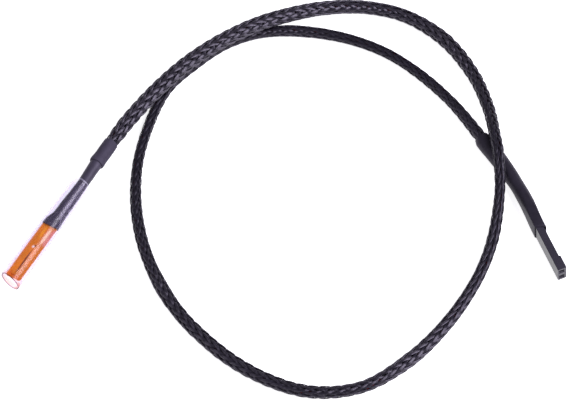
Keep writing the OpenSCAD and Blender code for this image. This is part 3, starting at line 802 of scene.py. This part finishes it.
class SENSOR_OT_film(Operator):
    """Gives the films, foils, chip, wires, joints and terminals their finishes"""

    bl_idname = "sensor.film"
    bl_label = "Film, foils and terminals"

    def execute(self, context):
        lead = context.scene.sensor_lead
        film = finish_of(
            "Polyimide film", context.scene.sensor_probe.amber, spread=0.1, patch=500, grain=3000,
            gloss=(0.2, 0.3), bump=0.08, depth=0.04 * MM, IOR=1.5, Transmission_Weight=0.3,
        )
        self.paint_film_marks_and_glare(film)
        let_light_through(film, (0.9, 0.45, 0.12, 1))
        chip = finish_of(
            "Chip ceramic", (0.03, 0.026, 0.03), spread=0.2, patch=800, grain=6000,
            gloss=(0.4, 0.6), bump=0.2, depth=0.02 * MM,
        )
        foil = metal_finish(
            "Foil", (0.62, 0.3, 0.12), 500, 4000, gloss=(0.25, 0.4), bump=0.2, depth=0.02 * MM, spread=0.15
        )
        solder = metal_finish(
            "Solder", (0.62, 0.62, 0.66), 900, 5000, gloss=(0.2, 0.4), bump=0.3, depth=0.03 * MM
        )
        copper = metal_finish(
            "Copper strand", (0.78, 0.36, 0.2), 900, 5000, gloss=(0.2, 0.35), bump=0.2, depth=0.02 * MM
        )
        tin = metal_finish(
            "Tinned terminal", (0.5, 0.46, 0.36), 600, 5000, gloss=(0.3, 0.45), bump=0.1, depth=0.01 * MM
        )
        finishes = {
            "film": film,
            "foil": foil,
            "chip": chip,
            "solder": solder,
            "conductor": copper,
            "terminal": tin,
            "red_insulation": wire_finish("Red insulation", lead.red),
            "black_insulation": wire_finish("Black insulation", lead.black),
        }
        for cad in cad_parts.values():
            for slot in cad.material_slots:
                name = slot.material.name.split(".")[0]
                if name in finishes:
                    slot.material = finishes[name]
        return {"FINISHED"}

    def paint_film_marks_and_glare(self, film):
        """A dark line along the middle, painted reflections near the sleeve as an orange patch and as
        pink and yellow-white patches, and a painted glint beside a dark fleck."""
        tree = film.node_tree
        colour = tree.nodes["Skin"].outputs["Colour"]
        marks_and_glare = [
            ((-14.7, 0.05, 2.8), (5.2, 0.3, 1), 0.4, 0, (0.3, 0.06, 0.006, 1)),
            # Painted reflections: an orange patch, then pink and yellow-white patches
            ((-5, 0.5, 2.8), (2.6, 0.55, 1), 0.6, 0.02, (1, 0.42, 0.01, 1)),
            ((-5.8, -1.7, 2.8), (3.3, 0.7, 1), 0.3, -0.03, (0.9, 0.36, 0.26, 1)),
            ((-5.6, -0.85, 2.8), (3, 0.5, 1), 0.35, -0.03, (1, 0.66, 0.38, 1)),
            ((-9.25, 0, 2.8), (0.4, 0.3, 1), 0.6, 0, (0.12, 0.02, 0.002, 1)),
            # Painted glint
            ((-9.65, 0.38, 2.8), (0.5, 0.42, 1), 0.45, 0, (1, 0.97, 0.93, 1)),
        ]
        for centre, radii, full, turn, tint in marks_and_glare:
            colour = tinted(tree, colour, spot(tree, centre, radii, full, turn=turn), tint)
        tree.links.new(colour, tree.nodes["Principled BSDF"].inputs["Base Color"])


class SENSOR_OT_splice_sleeve(Operator):
    """Lofts the splice sleeve from its flat mouth over the film to the collar"""

    bl_idname = "sensor.splice_sleeve"
    bl_label = "Splice sleeve"

    def execute(self, context):
        settings = context.scene.sensor_probe
        low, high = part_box("splice_sleeve")
        collar_low, collar_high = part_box("collar")
        collar_z = (collar_low.z + collar_high.z) / 2
        tube_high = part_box("clear_tube")[1]
        tube_z = tube_high.z / 2
        joints_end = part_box("solder_joint_left")[1].x
        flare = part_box("film_base")[1].x + 0.1 * MM
        flare_end = flare + 3 * MM
        joint_r, waist_r, end_r, wall = 1.72 * MM, 1.43 * MM, 1.65 * MM, 0.24 * MM
        places = [flare_end, tube_high.x, collar_low.x, high.x]
        aside, bent = -0.25 * MM, np.array([0, -0.3 * MM, -0.15 * MM])
        mouth = (2.27 * MM, 0.6 * MM, 0.45 * MM)
        mouth_bore = (2.13 * MM, 0.36 * MM, 0.12 * MM)
        stations = [low.x, low.x + 0.15 * MM, low.x + 0.5 * MM] + list(np.linspace(flare, flare_end, 13))
        stations += list(np.linspace(flare_end, high.x, 46)[1:])
        across = np.array([0, 1, 0])
        shell, inside = [], []
        for x in stations:
            m = float(ease((x - flare) / (flare_end - flare)))
            sink = float(ease((x - joints_end) / (tube_high.x - joints_end)))
            back = float(ease((x - tube_high.x) / (collar_low.x - tube_high.x)))
            lean = m * (1 - float(ease((x - flare_end) / (tube_high.x - flare_end))))
            centre = np.array([x, aside * sink * (1 - back), mix(tube_z, collar_z, sink)]) + bent * lean
            r = float(np.interp(x, places, [joint_r, waist_r, end_r, end_r]))
            lumpy = []
            for y, z in round_rect(*(mix(size, r, m) for size in mouth)):
                swell = ripple((x, y * 0.7, z * 0.7), 2.2 * MM, 0.04 * MM)
                swell += ripple((x, y, z), 0.9 * MM, 0.02 * MM)
                if x > collar_low.x - 0.3 * MM:
                    swell = min(swell, 0)
                k = 1 + swell * m / math.hypot(y, z)
                lumpy.append((y * k, z * k))
            shell.append(place(lumpy, centre, across, UP))
            hole = round_rect(*(mix(size, r - wall, m) for size in mouth_bore))
            inside.append(place(hole, centre, across, UP))
        bm = bmesh.new()
        loft(bm, shell + inside[::-1], closed=True)
        finish = shrink_finish("Heat-shrink", settings.shrink, gloss=(0.46, 0.6), bump=0.04)
        sleeve = new_object("splice_sleeve_skin", mesh_of("splice_sleeve_skin", bm), finish)
        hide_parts("splice_sleeve")
        return {"FINISHED"}


class SENSOR_OT_collar(Operator):
    """Turns the collar with its uneven shrunk surface"""

    bl_idname = "sensor.collar"
    bl_label = "Collar"

    def execute(self, context):
        settings = context.scene.sensor_probe
        low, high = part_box("collar")
        middle = (low + high) / 2
        length = high.x - low.x
        bead = 0.1 * MM
        radius = (high.z - low.z) / 2 - bead
        bore_front, bore, lap = 1.68 * MM, 1.5 * MM, 1.4 * MM
        # Share of the length, and height over the radius in millimetres
        outside = [
            (0, -0.1), (0.004, -0.03), (0.012, 0.02), (0.04, 0.07), (0.09, 0.09), (0.16, 0.05),
            (0.24, 0), (0.35, -0.03), (0.45, -0.02), (0.55, 0), (0.65, 0.01), (0.75, 0.01),
            (0.85, -0.01), (0.95, -0.03), (0.98, -0.05), (0.995, -0.09), (1, -0.16),
        ]
        profile = [(low.x + u * length, radius + d * MM) for u, d in outside]
        profile += [(high.x, bore), (low.x + lap + 0.2 * MM, bore)]
        profile += [(low.x + lap, bore_front), (low.x, bore_front)]
        finish = shrink_finish("Collar shrink", settings.shrink, gloss=(0.64, 0.8), bump=0.25)
        collar = turned("collar_skin", profile, (0, middle.y, middle.z), 64, finish)
        centre = np.array([0, middle.y, middle.z])
        for v in collar.data.vertices:
            p = np.array(v.co) - centre
            d = math.hypot(p[1], p[2])
            if d > bore_front + 0.05 * MM:
                k = 1 + ripple((v.co.x, p[1], p[2]), 1.3 * MM, 0.05 * MM) / d
                k = min(k, (radius + bead) / d) if k > 1 else k
                v.co.y, v.co.z = middle.y + p[1] * k, middle.z + p[2] * k
        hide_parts("collar")
        return {"FINISHED"}


class SENSOR_OT_boot(Operator):
    """Lofts the boot from the braid to its slanting mouth on the housing"""

    bl_idname = "sensor.boot"
    bl_label = "Connector boot"

    def execute(self, context):
        settings = context.scene.sensor_plug
        bend_at, grip_at, plug_at, plug_dir = plug_frames(settings)
        # The housing's rear stretch, which the mouth grips closely but for a gap on one side
        rear_y, rear_half_y, rear_half_z = -0.21 * MM, 0.96 * MM, 2.54 * MM
        gap, fit = 0.4 * MM, 0.03 * MM
        mouth = (rear_half_y + (fit + gap) / 2, rear_half_z + fit, fit)
        mouth_y = rear_y + (gap - fit) / 2
        bore, most_puff, slant = 1.5 * MM, 0.42 * MM, 0.4
        lowest, highest = -0.12 * MM, 0.03 * MM
        # Places along the boot, each with how far the round bore has turned into the mouth's shape
        sections = [(grip_at(back * MM), 0.0) for back in np.linspace(5, 0.4, 12)]
        sections += [(bend_at(u), float(ease((u - 0.3) / 0.65))) for u in np.linspace(0, 1, 34)]
        centre, side, up = plug_at(0.9 * MM)
        sections.append(((centre, side + plug_dir * slant, up), 1.0))
        outside, inside = [], []
        for number, ((centre, side, up), m) in enumerate(sections):
            puff = most_puff * float(ease(number / 3) * ease((24 - number) / 14))
            shape = [mix(bore, size, m) for size in mouth]
            shift = mouth_y * m
            wall = settings.boot_wall * (1 - m / 2)
            skin = []
            for y, z in round_rect(*(size + wall for size in shape)):
                p = centre + side * (y + shift) + up * z
                d = math.hypot(y, z)
                swell = ripple(p, 3 * MM, 0.05 * MM) + ripple(p, 1.2 * MM, 0.02 * MM)
                k = 1 + (min(highest, max(lowest, swell)) + puff * abs(y) / d) / d
                skin.append((y * k + shift, z * k))
            outside.append(place(skin, centre, side, up))
            inside.append(place([(y + shift, z) for y, z in round_rect(*shape)], centre, side, up))
        bm = bmesh.new()
        loft(bm, outside + inside[::-1], closed=True)
        # The boot takes the heat-shrink colour darkened to 0.36 as painted shade
        dark = shaded(context.scene.sensor_probe.shrink, 0.36)
        finish = shrink_finish("Boot shrink", dark, gloss=(0.42, 0.6), bump=0.3, Specular_IOR_Level=0.36)
        boot = new_object("connector_boot_skin", mesh_of("connector_boot_skin", bm), finish)
        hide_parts("connector_boot")
        return {"FINISHED"}


class SENSOR_OT_housing(Operator):
    """Rounds the moulded housing's edges and gives it its plastic"""

    bl_idname = "sensor.housing"
    bl_label = "Socket housing"

    def execute(self, context):
        settings = context.scene.sensor_plug
        bm = bmesh.new()
        bm.from_mesh(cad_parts["connector_housing"].data)
        bmesh.ops.remove_doubles(bm, verts=bm.verts, dist=2e-6)
        bmesh.ops.dissolve_limit(bm, angle_limit=math.radians(1), verts=bm.verts, edges=bm.edges)
        corner = math.radians(30)
        sharp = [e for e in bm.edges if len(e.link_faces) == 2 and e.calc_face_angle(0) > corner]
        bmesh.ops.bevel(
            bm, geom=sharp, offset=0.05 * MM, segments=2, profile=0.5, affect="EDGES", material=-1,
            clamp_overlap=True,
        )
        for face in bm.faces:
            face.smooth = False
        mesh = bpy.data.meshes.new("connector_housing_shell")
        bm.to_mesh(mesh)
        bm.free()
        plastic = finish_of(
            "Moulded housing", settings.plastic, spread=0.12, patch=260, grain=5200,
            gloss=(0.2, 0.3), bump=0.15, depth=0.02 * MM, Specular_IOR_Level=0.38,
        )
        shell = new_object("connector_housing_shell", mesh, plastic)
        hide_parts("connector_housing")
        return {"FINISHED"}


class SENSOR_OT_declare_lead(Operator):
    """Works out the lead's line and turns its points into tuples, which nothing keeps"""

    bl_idname = "sensor.declare_lead"
    bl_label = "Declare the lead"

    def execute(self, context):
        settings = context.scene.sensor_lead
        line = LeadLine(settings, WIRE_STEP)
        tuple(line.points[0])
        [tuple(p) for p in line.points]
        return {"FINISHED"}


class SENSOR_OT_stage(Operator):
    """Lays the floor and sets the lamps and the even light"""

    bl_idname = "sensor.stage"
    bl_label = "Floor and lamps"

    def execute(self, context):
        settings = context.scene.sensor_stage
        self.floor(settings)
        self.world(settings)
        self.lamp("key", (0.18, -0.6, 0.53), size=0.66, power=8.0)
        self.lamp("fill", (-0.35, 0.3, 0.6), size=0.5, power=0.8)
        context.scene.view_settings.view_transform = "Standard"
        return {"FINISHED"}

    def floor(self, settings):
        """A matt floor that takes the shadow and looks white to the camera, in gloss and through
        the clear tube."""
        bm = bmesh.new()
        bmesh.ops.create_grid(bm, x_segments=2, y_segments=2, size=settings.floor / 2)
        mesh = bpy.data.meshes.new("floor")
        bm.to_mesh(mesh)
        bm.free()
        floor = bpy.data.objects.new("floor", mesh)
        bpy.context.scene.collection.objects.link(floor)
        material = bpy.data.materials.new("floor")
        material.use_nodes = True
        tree = material.node_tree
        tree.nodes.clear()
        out = node(tree, "ShaderNodeOutputMaterial", 800)
        matt = node(tree, "ShaderNodeBsdfDiffuse", 0, 0)
        matt.inputs["Color"].default_value = (0.8, 0.8, 0.8, 1)
        glow = node(tree, "ShaderNodeEmission", 0, -200)
        glow.inputs["Color"].default_value = (1, 1, 1, 1)
        glow.inputs["Strength"].default_value = 0.8
        both = node(tree, "ShaderNodeAddShader", 200, -100)
        rays = node(tree, "ShaderNodeLightPath", -200, 400)
        seen = node(tree, "ShaderNodeMath", 0, 400, operation="MAXIMUM")
        seen_any = node(tree, "ShaderNodeMath", 200, 400, operation="MAXIMUM")
        blend = node(tree, "ShaderNodeMixShader", 500, 0)
        link = tree.links.new
        link(rays.outputs["Is Camera Ray"], seen.inputs[0])
        link(rays.outputs["Is Glossy Ray"], seen.inputs[1])
        link(seen.outputs["Value"], seen_any.inputs[0])
        link(rays.outputs["Is Transmission Ray"], seen_any.inputs[1])
        link(matt.outputs["BSDF"], both.inputs[0])
        link(glow.outputs["Emission"], both.inputs[1])
        link(seen_any.outputs["Value"], blend.inputs["Fac"])
        link(matt.outputs["BSDF"], blend.inputs[1])
        link(both.outputs["Shader"], blend.inputs[2])
        link(blend.outputs["Shader"], out.inputs["Surface"])
        mesh.materials.append(material)

    def world(self, settings):
        world = bpy.data.worlds.new("studio")
        world.use_nodes = True
        background = world.node_tree.nodes["Background"]
        background.inputs["Color"].default_value = (*COOL_LIGHT, 1)
        background.inputs["Strength"].default_value = settings.world
        bpy.context.scene.world = world

    def lamp(self, name, place_at, size, power):
        data = bpy.data.lights.new(name, "AREA")
        data.shape = "DISK"
        data.size = size
        data.energy = power
        data.color = COOL_LIGHT
        lamp = bpy.data.objects.new(name, data)
        bpy.context.scene.collection.objects.link(lamp)
        lamp.location = place_at
        aim = Vector(LAMP_AIM) - Vector(place_at)
        lamp.rotation_euler = aim.to_track_quat("-Z", "Y").to_euler()


class SENSOR_PT_pieces(Panel):
    """Lists the steps and their settings in the 3D view's sidebar"""

    bl_idname = "SENSOR_PT_pieces"
    bl_label = "Film temperature sensor"
    bl_space_type = "VIEW_3D"
    bl_region_type = "UI"
    bl_category = "Sensor"

    def draw(self, context):
        for step in STEPS:
            self.layout.operator(step.bl_idname)
        for group in SETTINGS:
            settings = getattr(context.scene, group)
            for name in settings.bl_rna.properties.keys():
                if name not in ("rna_type", "name"):
                    self.layout.prop(settings, name)


SETTINGS = {
    "sensor_probe": ProbeSettings,
    "sensor_lead": LeadSettings,
    "sensor_plug": PlugSettings,
    "sensor_stage": StageSettings,
}
STEPS = (
    SENSOR_OT_camera,
    SENSOR_OT_lead,
    SENSOR_OT_clear_tube,
    SENSOR_OT_film,
    SENSOR_OT_splice_sleeve,
    SENSOR_OT_collar,
    SENSOR_OT_boot,
    SENSOR_OT_housing,
    SENSOR_OT_declare_lead,
    SENSOR_OT_stage,
)


def register():
    for group in SETTINGS.values():
        bpy.utils.register_class(group)
    for name, group in SETTINGS.items():
        setattr(bpy.types.Scene, name, PointerProperty(type=group))
    for step in STEPS + (SENSOR_PT_pieces,):
        bpy.utils.register_class(step)


def unregister():
    for step in reversed(STEPS + (SENSOR_PT_pieces,)):
        bpy.utils.unregister_class(step)
    for name, group in SETTINGS.items():
        delattr(bpy.types.Scene, name)
        bpy.utils.unregister_class(group)


def main():
    register()
    bpy.ops.sensor.camera()
    bpy.ops.sensor.lead()
    bpy.ops.sensor.clear_tube()
    bpy.ops.sensor.film()
    bpy.ops.sensor.splice_sleeve()
    bpy.ops.sensor.collar()
    bpy.ops.sensor.boot()
    bpy.ops.sensor.housing()
    bpy.ops.sensor.declare_lead()
    bpy.ops.sensor.stage()


if __name__ == "__main__":
    main()
